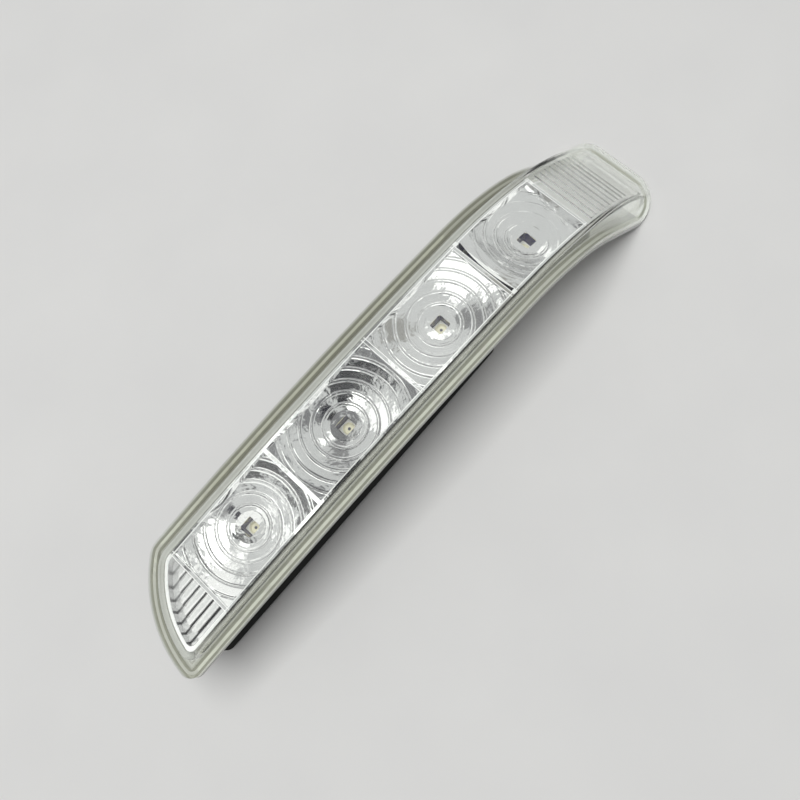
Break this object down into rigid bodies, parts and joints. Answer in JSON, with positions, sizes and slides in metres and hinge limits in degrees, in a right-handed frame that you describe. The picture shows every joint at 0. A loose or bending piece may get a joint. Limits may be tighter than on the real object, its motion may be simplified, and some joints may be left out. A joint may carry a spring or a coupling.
{
  "type": "mirror turn signal lamp",
  "caption": "Long curved clear lamp for a door mirror: stepped bright reflector bowls in a row, a fluted end cell, a rim all round and a black rear housing with a plug socket.",
  "frame": {"origin": "middle of the lamp's outline, on the surface that it lies on with its face up", "axes": "+X along the lamp from the fluted end to the curved tip, +Y across the lamp, +Z out of the face"},
  "size_m": [0.2449, 0.041, 0.051],
  "materials": {
    "outer_lens": "clear polished moulding",
    "reflector": "bright metallised mirror skin",
    "carrier_frame": "smooth grey moulding",
    "lens_bead": "clear sealant",
    "circuit_board": "dark solder mask",
    "light_source": "white body with a pale yellow well",
    "resistor": "dark ceramic",
    "diode": "moulded black",
    "capacitor": "plain can",
    "board_screws": "zinc plated",
    "rear_housing": "black fine grain",
    "housing_seal": "soft black",
    "terminal": "tin plated",
    "terminal_holder": "moulded black",
    "vent_cap": "soft black",
    "housing_screws": "zinc plated"
  },
  "bodies": {
    "root": {"outer_lens": "outer_lens", "reflector": "reflector", "carrier_frame": "carrier_frame", "lens_bead": "lens_bead", "circuit_board": "circuit_board", "led_1": "light_source", "led_2": "light_source", "led_3": "light_source", "led_4": "light_source", "resistor_1": "resistor", "resistor_2": "resistor", "resistor_3": "resistor", "resistor_4": "resistor", "diode": "diode", "capacitor": "capacitor", "board_screws": "board_screws", "rear_housing": "rear_housing", "housing_seal": "housing_seal", "terminal_1": "terminal", "terminal_2": "terminal", "terminal_3": "terminal", "terminal_holder": "terminal_holder", "vent_cap": "vent_cap", "housing_screws": "housing_screws"}
  },
  "joints": []
}
